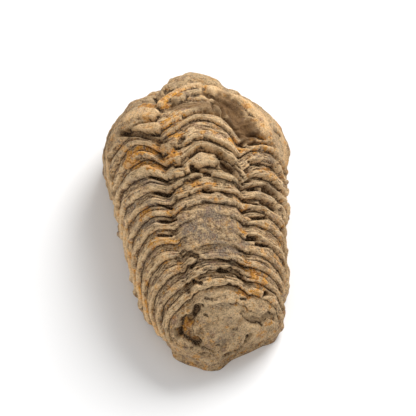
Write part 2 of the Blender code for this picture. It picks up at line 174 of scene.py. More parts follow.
def foot_height(y):
    foot = FOOT_THORAX + (FOOT_TAIL - FOOT_THORAX) * (1 - smooth(FOOT_RISES_Y[1], FOOT_RISES_Y[0], y))
    return np.minimum(foot, FOOT_MOST * crest_height(y))


def line_y(line):
    """Where a line crosses the crest. On the head, lines are spaced by angle, down to its tip."""
    start = np.arcsin((LINES_Y[0] - TOP_Y) / FRONT_REACH)
    angle = start + (QUARTER - start) * np.clip(line / TIP_LINE, 0, 1)
    return np.where(line < 0, TOP_Y + FRONT_REACH * np.sin(angle), through(LINES, LINES_Y, line))


def back_point(line, angle):
    """The smooth dome at a line and an angle. Beyond a quarter turn it draws in and down to the ground."""
    turn = np.abs(angle)
    at_edge = np.minimum(turn / QUARTER, 1) ** EDGE_POWER
    left, right = through(FLANK_LINES, FLANK_LEFT, line), through(FLANK_LINES, FLANK_RIGHT, line)
    ahead = np.where(angle < 0, left, right) * smooth(*AHEAD_FROM, turn) * (1 - at_edge)
    ahead = ahead + through(EDGE_LINES, EDGE_AHEAD, line) * at_edge
    y = line_y(line) + ahead - RING_ARCH * np.minimum(turn / FURROW, 1) ** 2 * smooth(*RING_ARCH_FROM, line)
    y = np.clip(y, REARMOST_Y, TIP_Y)
    below = np.clip((turn - QUARTER) / (GROUND_ANGLE - QUARTER), 0, 1)
    turn = np.minimum(turn, QUARTER)
    foot = foot_height(y)
    power = SIDE_POWER + (HEAD_SIDE_POWER - SIDE_POWER) * smooth(*HEAD_SIDE_Y, y)
    undercut = UNDERCUT_TAIL + (UNDERCUT - UNDERCUT_TAIL) * smooth(*UNDERCUT_Y, y)
    drawn_in = undercut * below**2 * smooth(*UNDERCUT_HALF_WIDTH, half_width(y))
    reach = half_width(y) * np.sin(turn) ** (2 / power) - drawn_in
    x = np.sign(angle) * reach
    z = foot + (crest_height(y) - foot) * np.cos(turn) ** (2 / power)
    z = np.where(below > 0, foot * (1 - below), z)
    z = z - ROLL * x * np.clip(z / ROLL_FULL_Z, 0, 1)
    return np.stack([middle_x(y) + x, y, z], -1)


def outward(line, angle):
    """The directions straight out of the dome and to its rear, and the spacing of the lines in mm."""
    rear = (back_point(line + NEARBY, angle) - back_point(line - NEARBY, angle)) / (2 * NEARBY)
    sideways = back_point(line, angle + NEARBY) - back_point(line, angle - NEARBY)
    spacing = np.linalg.norm(rear, axis=-1)
    return unit(np.cross(rear, sideways)), unit(rear), spacing


# ---- noise
# The noise's steps between seeds and between rings, and the seed of each unevenness.
NOISE_STEP = (17.3, 5.1, 9.7)
RING_STEP = 3.7
RING_SEED = 3.0
CHIP_SEED = 8.0
NECK_SEED = 12.0
NECK_GAP_SEED = 13.0
LIP_SEED = 30.0
LEDGE_SEED = 40.0
LEDGE_HEIGHT_SEED = 50.0
FLAKE_SEED = 60.0


def noise_at(places, size, seed=0.0, octaves=()):
    """Smooth noise from -1 to 1 at each place, with lumps about that size across."""
    kind = noise.fractal if octaves else noise.noise
    shift = Vector([seed * step for step in NOISE_STEP])
    values = [kind(Vector(place) + shift, *octaves) for place in places.reshape(-1, 3) / size]
    return np.reshape(values, places.shape[:-1])


# ---- the animal
# The furrows beside the axis, which fade on the tail, and the swell of the flanks (mm).
FURROW_DEPTH = 1.1
FURROW_WIDTH = 1.6
FURROW_FADE = (THORAX_END, TAIL_END - 0.5)
FURROW_LEFT_ON_TAIL = 0.3
FLANK_SWELL = 0.5
FLANK_SWELL_LINES = (-1.0, 2.0)
FLANK_SWELL_ANGLE = math.radians(52.0)
FLANK_SWELL_SPREAD = math.radians(20.0)

# One segment along its length: a thin groove, then a plate that rises to its rear lip and ends in a step.
SEGMENT_AT = (0.0, 0.02, 0.06, 0.3, 0.5, 0.76, 0.88, 0.945, 0.965, 1.0)
SEGMENT_HEIGHT = (-1.1, -0.95, -0.4, -0.2, 0.1, 0.36, 0.42, 0.34, -0.6, -1.1)
# On the flanks a segment is a flat front band and a rounded rib.
RIB_AT = (0.0, 0.04, 0.1, 0.24, 0.4, 0.47, 0.53, 0.62, 0.74, 0.87, 0.95, 1.0)
RIB_HEIGHT = (-0.8, -0.65, -0.42, -0.3, -0.35, -0.55, -0.15, 0.3, 0.48, 0.36, -0.1, -0.8)
RIB_FROM = np.radians((24.0, 33.0))
# How broken the segments are on the axis, the left flank and the right flank.
BROKEN_LINES = (0.0, 2.0, 4.0, 7.0, 9.0, 12.0, 15.0)
BROKEN = (
    (0.4, 0.3, 0.7, 0.9, 0.6, 0.8, 0.6),
    (0.3, 0.3, 0.35, 0.2, 0.12, 0.12, 0.2),
    (0.5, 0.6, 0.6, 0.6, 0.35, 0.25, 0.3),
)
# Ledges of the plate's thin layers: place in the segment, rise (mm).
LEDGES = ((0.15, 0.26), (0.32, 0.34), (0.48, 0.38), (0.64, 0.26), (0.8, 0.2))
LEDGE_STRAYS = 0.14
LEDGE_RUN = 4.0
LEDGE_HALF = 0.025
LEDGE_HEIGHT = 0.6
LEDGE_VARIES = 1.4
LEDGE_MOST = 1.6
LEDGE_LEAST = 0.25
LEDGE_CRACK = 0.26
LEDGE_CRACK_AHEAD = 0.03
# Chips off the rear lips: part of a segment, length along the ring (mm).
LIP_LOST = ((0.18, 2.8), (0.09, 0.9))
LIP_NOISE = (0.0, 0.4)
# How far the rear lips hang back over the next plate (mm).
SLIP = 0.22
SLIP_SPREAD = 0.1
STEP_AT = 0.95
# The rings run further ahead in the furrows and further back towards the margins (segments).
FURROW_LEAD = 0.28
FURROW_LEAD_WIDTH = 1.5 * FURROW_WIDTH
LAG_DEGREES = (24.0, 36.0, 48.0, 60.0, 72.0, 80.0, 88.0)
LAG_LEFT_FRONT = (0.0, -0.05, 0.0, 0.05, 0.0, 0.3, 0.7)
LAG_LEFT_REAR = (0.0, -0.1, 0.0, 0.15, 0.4, 0.75, 1.15)
LAG_RIGHT = (0.0, 0.0, 0.1, 0.2, 0.3, 0.2, 0.0)
LAG_REAR_FROM = (7.0, 9.0)
LAG_ENDS = (14.0, 17.0)

# The lines where the front rings end, across the axis and on the flanks: uneven, as broken ones are.
EDGE_DEGREES = (-66.0, -52.0, -42.0, -33.0, -25.0, -12.0, 0.0, 12.0, 25.0, 33.0, 42.0, 52.0, 66.0)
RING_EDGES = (
    (0.0, 0.1, 0.2, 0.3, 0.5, 0.6, 0.45, 0.6, 0.9, 0.6, 0.4, 0.2, 0.0),
    (1.0, 1.1, 1.3, 1.5, 2.0, 1.8, 1.4, 1.35, 2.05, 1.7, 1.4, 1.2, 1.0),
    (2.1, 2.1, 2.2, 2.3, 2.4, 2.3, 1.85, 2.2, 3.0, 2.6, 2.35, 2.25, 2.2),
    (3.15, 2.9, 2.95, 3.05, 3.3, 3.45, 3.3, 3.6, 3.9, 3.45, 3.25, 2.95, 2.75),
    (4.3, 4.2, 4.2, 4.1, 4.2, 4.7, 4.0, 4.5, 5.2, 4.6, 4.15, 3.85, 4.0),
    (5.1, 5.2, 5.45, 5.35, 5.4, 5.7, 5.3, 5.5, 5.9, 5.6, 5.55, 5.4, 5.4),
    (6.1, 6.3, 6.45, 6.32, 6.3, 6.2, 6.05, 6.2, 6.3, 6.2, 6.2, 6.3, 6.2),
    (7.0, 7.15, 7.25, 7.2, 7.15, 7.2, 7.05, 7.1, 7.1, 7.1, 7.1, 7.0, 6.9),
)
# How far the rings stray (segments), over what length (mm), and where that sets in (lines).
WOBBLE = ((0.06, 4.0), (0.03, 1.4))
WOBBLE_FROM = (-0.3, 0.6)
# How high each ring stands, and where the rings fade: lines, spacing of the lines (mm) and angles.
RING_AMOUNT = (
    *(0.8, 0.75, 0.8, 0.85, 1.25, 0.95, 0.85, 0.9, 1.0),
    *(0.9, 0.85, 0.9, 1.0, 1.05, 0.9, 0.8, 0.8, 0.8),
)
RINGS_FROM = (-0.2, 0.1)
TAIL_FADE = ((13.4, 14.8), (15.6, 16.4))
TAIL_FADE_PART = 0.75
SMOOTH_RIGHT_ENDS = (1.8, 2.4)
SMOOTH_LEFT_ENDS = (1.45, 1.75)
CROWDED = (0.3, 2.2)
LOW_RIBS_PART = 0.3
LOW_RIBS_LINE = (6.5, 9.0)
RIB_ENDS_LEFT = np.radians((84.0, 112.0))
RIB_ENDS_RIGHT = np.radians((62.0, 100.0))
GROUND_FADE = np.radians((104.0, 119.5))
NARROW_FADE = (0.3, 3.5)
WORN_LINE = 9.7
WORN_LINES = 1.9
WORN_ANGLE = math.radians(2.0)
WORN_SPREAD = math.radians(25.0)
WORN_PART = 0.93

# The head: its swollen middle lobe, the furrow of the neck, and the raised rim round its edge.
LOBE_LINES = (TIP_LINE, -4.6, -3.0, -1.2, 0.0)
LOBE_HALF = (5.0, 5.6, 6.5, 7.7, 8.4)
LOBE_FRONT_Z = (6.0, 9.0)
LOBE_RISE = 0.7
LOBE_EDGE = (0.6, 1.0)
LOBE_ENDS = (-1.4, 0.3)
NECK_LINE = -1.2
NECK_LINES = 0.16
NECK_DEPTH = 1.1
NECK_ENDS = np.radians((46.0, 74.0))
NECK_WIDENS = 0.8
NECK_WANDER = 0.2
NECK_SIZE = 4.0
NECK_GAPS = 0.55
NECK_GAP_NOISE = (0.0, 0.5)
NECK_GAPS_FROM = (0.4, 0.9)
RIM_Z = 2.4
RIM_RISE = 0.5
RIM_FURROW_Z = 5.6
RIM_FURROW_DEPTH = 0.9
RIM_HALF = 1.35
RIM_LINES = (-1.6, -0.4)
RIM_ENDS = np.radians((98.0, 112.0))
# Knobs and swellings on the head: rise, radius (mm), line, degrees.
KNOBS = (
    (0.7, 1.7, -2.4, -58.0),
    (1.0, 1.7, -2.4, 58.0),
    (0.8, 2.2, -1.9, -27.0),
    (0.8, 2.2, -1.9, 27.0),
    (0.7, 1.8, -3.1, -35.0),
    (0.7, 1.8, -3.1, 35.0),
    (0.5, 1.4, -4.1, -39.0),
    (0.5, 1.4, -4.1, 39.0),
)

# ---- breaks, chips and wear
# Each: height (mm, minus is sunk), radius (mm), wall (0 sloping to 1 steep), wipe (how much of the rings it
# takes away) and course (line, degrees). Narrow cracks leave out their wall and wipe.
BREAKS = (
    # Both shoulders of the head, rubbed down.
    (-2.2, 7.0, 0.2, 0, ((-3.7, 42), (-3.1, 50), (-2.6, 57))),
    (-0.7, 4.0, 0.2, 0, ((-3.6, -46), (-2.8, -36))),
    # The top of the head: middle lobe, left cheek, a ledge, the arch behind it and its lumps.
    (-0.5, 2.6, 0.2, 0, ((-4.1, -20), (-3.2, -16))),
    (0.6, 2.6, 0.2, 0, ((-4.4, -62), (-4.9, -68))),
    (-0.7, 0.6, ((-1.4, -20), (-1.15, -10), (-1.05, 0), (-1.05, 8))),
    (-1.0, 1.7, 0.4, 0, ((-0.7, -17), (-1, -9))),
    (0.9, 1.0, 0.4, 0.8, ((0.25, -18), (0, -13), (-0.35, -7), (-0.65, -2), (-0.8, 5))),
    (0.8, 0.85, 0.6, 0.8, ((0.35, -9), (0.1, -4), (-0.1, 3), (-0.15, 5))),
    (-0.5, 0.6, ((-0.5, 8), (-0.1, 8), (0.3, 9))),
    (-0.7, 0.5, 0.4, 0, ((0.65, 10), (1.3, 9.5))),
    # The smooth hollow behind the head's right side, its rim and the ridge outside it.
    (-1.1, 1.1, 0.6, 1, ((-0.1, 9), (0.24, 14))),
    (-1.2, 1.3, 0.6, 1, ((0.35, 17), (0.45, 20))),
    (-1.5, 3.0, 0.15, 1, ((0.75, 23), (1.15, 26))),
    (-1.4, 1.7, 0.3, 1, ((1.7, 30), (2.05, 32))),
    (-0.3, 2.2, 0.4, 1, ((-0.5, 20), (0.1, 24), (0.6, 33))),
    (0.8, 1.4, 0.2, 1, (
        (-0.6, 13), (-0.5, 20), (-0.35, 28), (0.25, 35), (1, 41), (1.44, 47), (1.84, 49),
    )),
    (-1.6, 0.6, 0.6, 0, ((2.1, 30), (2.25, 36), (2.3, 45))),
    (-0.6, 0.8, 0.4, 0, ((-1.2, 33), (-0.9, 35))),
    (-1.9, 0.6, 0.6, 0, ((0.5, 16), (1, 15.5), (1.4, 16), (1.85, 21), (2.25, 27))),
    (-0.45, 0.5, 0.3, 0, ((1.1, 57), (0.9, 64), (0.75, 68))),
    # The slit on the head's left shoulder.
    (-1.1, 0.6, ((-2.1, -36), (-1, -25))),
    # The front of the head, out of the photo's sight: the furrow round the lobe and a dent in it.
    (-1.1, 2.8, 0.0, 0, ((-3.4, -40), (-4.2, -46), (-4.8, -44), (-5.2, -24), (-5.3, 0), (-5.2, 24))),
    (-0.6, 1.8, 0.0, 0, ((-3.9, -36), (-3.8, -20))),
    # The two smooth facets on the left flank, with the cracks and the cavity round them.
    (0.6, 1.6, 0.7, 0.9, ((0.5, -42), (0.35, -32), (0.55, -23))),
    (-1.5, 0.45, ((0.85, -20), (1, -25), (1.1, -31), (1.5, -43))),
    (0.5, 1.1, 0.7, 0.9, ((1.6, -38), (1.5, -30), (1.5, -23))),
    (-1.3, 0.4, ((2.1, -34), (1.85, -29), (1.8, -24))),
    (-1.3, 0.8, 0.6, 0.8, ((1.5, -49), (1.85, -42), (2, -36), (2.15, -30), (2.45, -24))),
    (-1.4, 0.6, 0.5, 0.5, ((2.55, -24), (2.6, -20))),
    (1.3, 1.5, 0.15, 0.9, ((3.05, -22), (3.2, -19))),
    (-1.0, 0.7, 0.5, 0.2, ((3.4, -13), (3, -9))),
    # The gaps behind the first and the fourth ring, and the wedge lost from the fifth.
    (-1.6, 0.55, ((1.5, -5), (1.4, 0), (1.35, 5), (1.35, 14))),
    (-1.6, 0.7, ((4.75, -16), (4.5, -9), (4.15, -3), (3.95, 0), (4.15, 3), (4.3, 8), (4.55, 12))),
    (-1.6, 0.8, 0.7, 1, ((4.75, 8.5), (5.1, 12), (5.5, 17))),
    (0.7, 0.7, 0.5, 0.6, ((4.2, 8), (4.5, 15), (4.8, 20), (5.4, 27))),
    (0.5, 1.5, 0.6, 0.5, ((4.8, -8), (4.7, 0), (4.8, 4))),
    # Holes in the sixth and seventh rings.
    (-2.2, 0.9, 0.7, 0.6, ((5.4, -5.5), (5.5, -3))),
    (-1.9, 0.6, 0.6, 0.3, ((5.75, -2), (5.85, 3))),
    (-2.0, 0.6, 0.6, 0.3, ((7.05, -1), (7.2, 3))),
    # Gaps beside the axis, left and right.
    (-1.6, 0.45, ((5.25, -38), (5.2, -30), (5.1, -25))),
    (-1.5, 0.45, ((6.35, -36), (6.3, -29), (6.25, -24))),
    (-1.0, 0.4, ((7.05, -34), (7.2, -25))),
    (-1.5, 0.45, ((8.25, -35), (8.2, -28), (8.2, -22))),
    (-1.0, 0.4, ((9.2, -38), (9.2, -28))),
    (-1.0, 0.6, ((3.1, 31), (2.8, 28))),
    (-0.9, 0.6, ((2.95, 33), (2.8, 40), (2.6, 49), (2.42, 60))),
    (-1.0, 0.6, 0.4, 0, ((4.3, 31), (4.4, 42))),
    (-1.5, 0.6, ((5.4, 28), (5.8, 32))),
    (-1.6, 0.5, ((6.3, 31), (6.35, 37))),
    (-1.2, 1.1, 0.5, 0.7, ((6.3, 44), (6.5, 50), (6.8, 56))),
    (-1.5, 0.5, 0.5, 0.2, ((7, 26), (7.25, 31), (7.55, 37))),
    (-1.0, 1.0, 0.4, 0.5, ((7.4, 42), (7.3, 56))),
    (-1.6, 0.5, ((8.35, 30), (8.4, 37), (8.2, 44))),
    (-2.2, 0.7, 0.6, 0, ((9.6, 28), (9.8, 34))),
    (-1.4, 0.5, ((10.15, 34), (10.1, 46))),
    # Pits on the left of the axis, and the gap between the last ring and the tail shield.
    (-1.1, 0.9, 0.4, 0.5, ((10.7, -22), (11, -16), (11.6, -11))),
    (-1.4, 0.6, 0.5, 0.3, ((12, -17), (11.9, -12))),
    (-1.6, 0.7, 0.6, 0.2, ((12.95, 3), (12.75, 10), (12.65, 17), (12.8, 20))),
    (-1.0, 0.5, ((13.1, -18), (13.5, -12))),
    # The tail shield: a thin ledge across it, pits, a sunk band on the right and a slit.
    (0.35, 0.7, 0.3, 0, ((14.72, -16), (14.9, -8), (14.95, 0), (14.8, 8))),
    (-0.25, 0.5, 0.4, 0, ((14.4, -12), (14.7, -6), (14.72, 2))),
    (-0.5, 0.4, ((14.48, 16), (14.28, 21))),
    (-1.1, 0.45, ((14.44, -20), (14.68, -16))),
    (-0.3, 0.4, ((15.24, -16), (15.4, -14))),
    (-1.4, 0.5, ((13.68, 40), (13.52, 44))),
    (-0.7, 1.1, 0.5, 0.6, ((15.24, 18), (15.2, 29), (15.28, 44), (14.76, 50), (14.64, 62))),
    (-2.0, 0.85, 0.6, 0, ((15.96, 53), (16.14, 70), (16.28, 85))),
    # The hollow in the tail shield: a crescent with a pocket at its top and at its left.
    (-1.5, 0.8, 0.85, 1, ((14.45, -22), (14.6, -27), (14.7, -33))),
    (-1.2, 1.6, 0.9, 1, ((14.84, -37), (15.2, -43), (15.5, -43))),
    (-1.2, 1.1, 0.9, 1, ((15.6, -42), (15.95, -40), (16.2, -31))),
    (-2.1, 0.7, 0.7, 1, ((14.5, -23), (14.65, -27))),
    (-1.9, 0.6, 0.7, 1, ((15, -53), (15.35, -58))),
    # The broken rear face: the rim above it, its upright edge and the recess to the right of that.
    (0.5, 0.5, 0.4, 0, ((14.96, -86), (16.28, -62), (16.5, -42), (16.66, -26), (17.3, -20), (17.3, 40))),
    (-0.9, 0.45, ((16, -82), (16.75, -62), (17, -42), (17.3, -28), (17.7, -22))),
    (0.7, 0.7, 0.3, 0, ((17.6, 10), (17.3, 53), (17.48, 110), (17.6, 118))),
    (-1.5, 1.1, 0.7, 0, ((17.1, 74), (16.72, 88), (16, 97))),
)
CRACK = (0.5, 0)
# A break's slope, as parts of its radius: where the steepest starts and where all end.
BREAK_EDGE = (0.9, 1.05)
# Breaks as wide as this get no dirt and painted shade. In the others dirt and painted shade are full from
# this depth down (mm).
UNDARKENED_RADIUS = 3.0
DIRT_AND_SHADE_DEPTH = 1.8
# How ragged the edges of breaks and patches are, and the size (mm) and seed of each noise.
RAGGED = 0.3
RAGGED_NOISE = ((0.9, 5.0), (2.25, 6.0))
RAGGED_RADIUS = 0.8

# Where the margin stands out or back along the ground: distance out (mm), radius (mm) and course.
MARGIN = (
    (0.45, 3.5, ((-3, 72), (-1.5, 76), (-0.6, 86))),
    (-0.5, 1.8, ((4, 90), (5.2, 90))),
    (0.7, 1.8, ((6, 90), (6.4, 90))),
    (0.6, 2.5, ((9.8, 90), (11, 90))),
    (-0.7, 1.5, ((12.2, 95), (12.6, 95))),
    (0.4, 1.2, ((13.4, 105), (13.6, 100))),
    (-0.9, 2.6, ((14.8, 110), (15.5, 110), (16.2, 110), (17.1, 110))),
    (-0.3, 1.8, ((15, 118), (15.8, 118), (16.4, 118))),
    (-0.6, 2.5, ((15.6, -112), (16.9, -112))),
    (-0.9, 1.6, ((14.1, -100), (14.5, -108))),
    (-0.7, 1.8, ((13.3, -118), (13.9, -118))),
    (0.5, 2.8, ((9.3, -96), (11.3, -96))),
    (0.7, 1.6, ((6.1, -95), (6.3, -95))),
    (-0.5, 1.6, ((4.3, -95), (5.4, -95))),
    (0.5, 1.6, ((0.2, -95), (2, -95))),
    (0.7, 2.0, ((-4.5, -70), (-5.1, -70))),
    (-0.5, 2.0, ((-3.5, -70), (-3.1, -72))),
)
MARGIN_FROM = np.radians((60.0, 82.0))
MARGIN_EDGE = (0.2, 1.1)

# ---- colour patches, with painted shade in the brown ones and painted light in some pale ones
# Each: strength, radius (mm) and course (line, degrees).
OCHRE = (
    (1.0, 1.6, ((-0.6, -33), (-0.3, -22), (0.2, -16))),
    (0.8, 1.2, ((1.7, -18), (1.7, -11), (1.5, -4))),
    (1.0, 1.1, ((3, 18), (3.1, 24), (3.2, 27))),
    (1.0, 1.5, ((3.3, -49), (3.4, -36), (2.9, -26))),
    (1.0, 1.2, ((4.1, -50), (4.6, -39), (4.3, -28))),
    (1.0, 1.3, ((3.6, -24), (3.9, -18), (3.8, -14))),
    (0.9, 1.0, ((2.4, 34), (2.2, 46))),
    (0.7, 1.2, ((3.2, 36), (2.7, 52))),
    (0.9, 1.2, ((5, 44), (5.2, 50))),
    (1.0, 1.2, ((7.4, -48), (7.6, -40))),
    (0.7, 0.8, ((7.5, -26), (7.8, -18))),
    (0.9, 0.8, ((7.3, 24), (7.5, 26))),
    (0.6, 0.9, ((9.2, 20), (9.4, 24))),
    (0.6, 1.5, ((11.7, 22), (12.2, 32), (13.1, 40))),
    (0.6, 1.2, ((14.1, 16), (13.8, 28), (13.4, 40))),
    (0.8, 1.0, ((9.6, -44), (9.5, -34), (9.7, -24))),
    (0.5, 2.2, ((8.2, -80), (9.7, -80), (11.5, -82), (13, -84))),
    (0.8, 0.9, ((2.4, -15), (2.7, -9))),
    (0.9, 0.8, ((3, -23), (3.1, -21))),
    (0.7, 0.7, ((6.6, -6), (6.7, 5))),
    (0.9, 1.0, ((-0.1, -19), (0.1, -7))),
    (0.9, 0.7, ((15.3, 55), (15.1, 61))),
    (0.95, 1.3, ((14.9, -41), (15.2, -45), (15.45, -48))),
)
# Brown stain and painted shade, mostly along hollows, breaks and recesses.
BROWN_AND_SHADE = (
    (1.0, 4.0, ((0.4, 20), (1.1, 25), (1.9, 31))),
    (0.9, 1.2, ((-0.1, 8), (0.3, 14))),
    (0.7, 2.2, ((0.8, -8), (0.9, 5), (1, 13))),
    (0.5, 1.5, ((1.3, -50), (2, -41), (2.4, -29), (3.2, -15))),
    (0.6, 1.3, ((4.9, 9), (5.2, 14), (5.5, 19))),
    (0.6, 1.2, ((-1, -45), (-0.6, -58), (0.3, -66), (0.9, -74))),
    (0.5, 1.2, ((14.4, -23), (14.7, -28), (14.8, -33))),
    (0.4, 1.2, ((15.7, -44), (16, -38), (16.3, -28))),
    (0.5, 0.8, ((14.9, -56), (15.4, -62))),
    (0.45, 1.2, ((15.6, 17), (15.25, 32), (14.85, 48))),
    (0.6, 1.3, ((17.1, 74), (16.72, 88), (16, 97))),
    (0.6, 1.2, ((6.2, 42), (6.4, 49), (6.7, 56))),
    (0.6, 1.0, ((7.4, 40), (7.2, 56))),
    (0.6, 0.9, ((1.5, -66), (2.4, -70), (3.6, -76), (5, -82))),
)
GREY = (
    (0.7, 1.2, ((1.6, 18), (2.2, 24))),
    (0.9, 1.2, ((5.2, -50), (5.5, -36), (5.6, -31))),
    (0.7, 1.5, ((6.4, -70), (6.8, -40), (7, -24))),
    (0.9, 1.3, ((7.8, -54), (8.3, -35))),
    (0.7, 1.2, ((3.8, 16), (4, 27))),
    (0.7, 6.0, ((9.4, -8), (9.2, 3), (9.6, 14), (11, 2))),
    (0.7, 2.0, ((4.1, 38), (3.7, 50))),
    (0.7, 2.0, ((6.1, 35), (7.2, 38), (6.1, 52))),
    (0.5, 4.0, ((14.9, -5), (15.8, 6), (16.7, 14))),
    (0.7, 1.0, ((-0.5, -14), (-0.8, -8))),
)
PALE = (
    (0.8, 0.9, ((4.4, -22), (3.9, -14), (3.6, -7), (3.5, 1), (3.6, 14), (3.9, 24))),
    (0.4, 3.0, ((0.3, 42), (1, 52), (1.4, 64))),
    # Painted highlight on the ridge outside the hollow behind the head.
    (0.3, 1.3, ((-0.6, 13), (-0.4, 24), (0.1, 34), (0.9, 42), (1.5, 47))),
    # Painted light: the tail shield made paler, as if lit more.
    (0.8, 6.0, ((14.9, -8), (15.6, 10), (15.5, 45))),
    (0.9, 2.0, ((4.8, -15), (4.7, 0), (5, 8))),
    (0.9, 2.2, ((6, -14), (6.1, 10))),
    (0.8, 1.2, ((4.8, -60), (4.8, -45), (4.9, -30))),
    (0.7, 1.3, ((2, -72), (3.2, -80), (4.5, -86))),
    (0.7, 2.0, ((0.5, -80), (0.4, -88), (2, -95))),
    (0.6, 3.5, ((-3, -13), (-2.5, 11), (-2, 22))),
    (0.4, 1.5, ((0.4, -38), (0.3, -28))),
    (0.4, 1.0, ((7.5, -10), (7.4, 4), (7.6, 16))),
)
COLOUR_PATCHES = {"ochre": OCHRE, "brown_and_shade": BROWN_AND_SHADE, "grey": GREY, "pale": PALE}
PATCH_EDGE = (0.35, 1.25)

# Where the stone is smooth: the hollow behind the head, the ridge outside it, the facets and both margins.
SMOOTH_STONE = (
    (1.0, 3.4, ((-0.2, 12), (0.8, 22), (1.8, 30))),
    (0.9, 3.0, ((-0.8, 20), (0, 34), (1.3, 46))),
    (0.9, 1.8, ((0.5, -42), (0.35, -32), (0.55, -23))),
    (0.8, 1.2, ((1.6, -38), (1.5, -30), (1.5, -23))),
    (0.7, 1.8, ((0.25, -18), (0, -10), (-0.4, -4), (-0.5, 5))),
    (0.6, 1.5, ((1, -8), (0.85, 2), (0.95, 10))),
    (0.7, 3.0, ((-0.5, 66), (1.5, 78), (2.2, 90))),
    (0.7, 1.8, ((1.5, -70), (3, -78), (4.5, -88))),
    (0.6, 4.0, ((5.5, -84), (9, -80), (13, -84), (15, -95))),
)
SMOOTHED = 0.8
SMOOTH_RAGGED = 0.5

# ---- unevenness of the broken stone (mm)
SWELL = 0.5
SWELL_ACROSS = 9.0
ROUGH = 0.3
ROUGH_ACROSS = 2.6
# The roughness's octaves: how fast they weaken, how much finer each one is, and their number.
OCTAVES = (0.9, 2.1, 2)
GRIT = ((0.16, 1.3), (0.12, 0.6))
# What is left of both where segments are whole.
ROUGH_LEAST = 0.5
GRIT_LEAST = 0.4
# Thin layers along the rings: rise (mm), number to a segment, length along the ring (mm).
LAYERS = ((0.2, 7.0, 5.0), (0.1, 15.0, 3.0))
# Flakes lost from the plates: depth, number and length likewise.
FLAKES = ((0.3, 2.1, 5.0), (0.2, 4.6, 2.6))
FLAKE_NOISE = (0.12, 0.17)
CHIP_DEPTH = 0.2
CHIP_ACROSS = 1.6
CHIP_NOISE = (0.15, 0.27)
# What is left of layers where segments crowd together, and of layers and chips where there are none.
CROWDED_LEAST = 0.35
CROWDED_LAYERS = (0.5, 1.5)
BALD_LEAST = 0.3
# The back's radius across the crest, and the least height of anything off the ground.
CREST_RADIUS = 17.0
LEAST_HEIGHT = 0.05

# ---- what the material is told
# Hollows, for painted shade in them and painted highlight on the crests beside them: how often their
# surroundings are blurred, and how much a hollow of 1 mm counts.
HOLLOWS = {"crease": (3, 3.0), "sunk": (12, 1.1), "low": (90, 0.5)}
# The hollows paint no shade and highlight on the round front of the head: from these lines forward, and
# from these angles down.
HEAD_FRONT_PLAIN = (-6.0, -4.8)
HEAD_SIDE_PLAIN = np.radians((76.0, 86.0))
HEAD_SIDE_LINES = (-1.5, 0.0)
# The dark front band of a segment, painted shade in its recess, in parts of it, and the lines where the
# stone turns grey.
BAND_STARTS = (0.0, 0.06)
BAND_ENDS = (0.42, 0.56)
REAR_LINES = (6.0, 14.0)
# Streaks of colour: how long a segment is (mm), and how much longer than wide they are.
SEGMENT_LENGTH = 3.0
STREAK_STRETCH = 6.0

# ---- the mesh
HEAD_ROWS = 74
SEGMENT_ROWS = 19
TAIL_SEGMENT_ROWS = 17
REAR_ROWS = 30
QUARTER_COLUMNS = 94
FOOT_COLUMNS = 14
UNDER_COLUMNS = 8
FIRST_LINE = TIP_LINE + 0.05
LAST_LINE = APEX_LINE - 0.03


def distance_to(course, point):
    """Distance in mm from each point to a course of (line, degrees) places on the dome."""
    line, degrees = np.array(course, float).T
    stops = back_point(line, np.radians(degrees))
    nearest = np.full(point.shape[:-1], np.inf)
    for start, end in zip(stops, stops[1:]):
        along = end - start
        part = np.clip(((point - start) @ along) / (along @ along), 0, 1)
        nearest = np.minimum(nearest, np.linalg.norm(point - start - part[..., None] * along, axis=-1))
    return nearest


def beside_axis(point):
    return np.abs(point[..., 0] - middle_x(point[..., 1]))


def axis_half_width(line, y):
    head = through(LOBE_LINES, LOBE_HALF, line)
    return np.where(line < 0, head, half_width(y) * np.sin(FURROW) ** (2 / SIDE_POWER))


def axis_relief(line, angle, point):
    """The furrows beside the axis, the swell of the flanks, and the middle lobe of the head."""
    turn = np.abs(angle)
    lateral = beside_axis(point)
    side = axis_half_width(line, point[..., 1])
    in_head = 1 - smooth(*LOBE_ENDS, line)
    depth = FURROW_DEPTH * (1 - (1 - FURROW_LEFT_ON_TAIL) * smooth(*FURROW_FADE, line))
    behind_front = 1 - in_head * (1 - smooth(*LOBE_FRONT_Z, point[..., 2]))
    relief = -depth * bump(lateral, side, FURROW_WIDTH) * behind_front
    swell = bump(turn, FLANK_SWELL_ANGLE, FLANK_SWELL_SPREAD) * smooth(*FLANK_SWELL_LINES, line)
    relief = relief + FLANK_SWELL * swell
    lobe = (1 - smooth(*LOBE_EDGE, lateral / side)) * behind_front
    relief = relief + LOBE_RISE * lobe * in_head
    wander = NECK_WANDER * noise_at(point, NECK_SIZE, NECK_SEED)
    neck = bump(line + wander, NECK_LINE, NECK_LINES * (1 + NECK_WIDENS * smooth(*NECK_ENDS, turn)))
    gaps = smooth(*NECK_GAP_NOISE, noise_at(point, NECK_SIZE, NECK_GAP_SEED))
    shallow = NECK_GAPS * gaps * smooth(*NECK_GAPS_FROM, turn)
    return relief - NECK_DEPTH * neck * (1 - shallow) * (1 - smooth(*NECK_ENDS, turn))


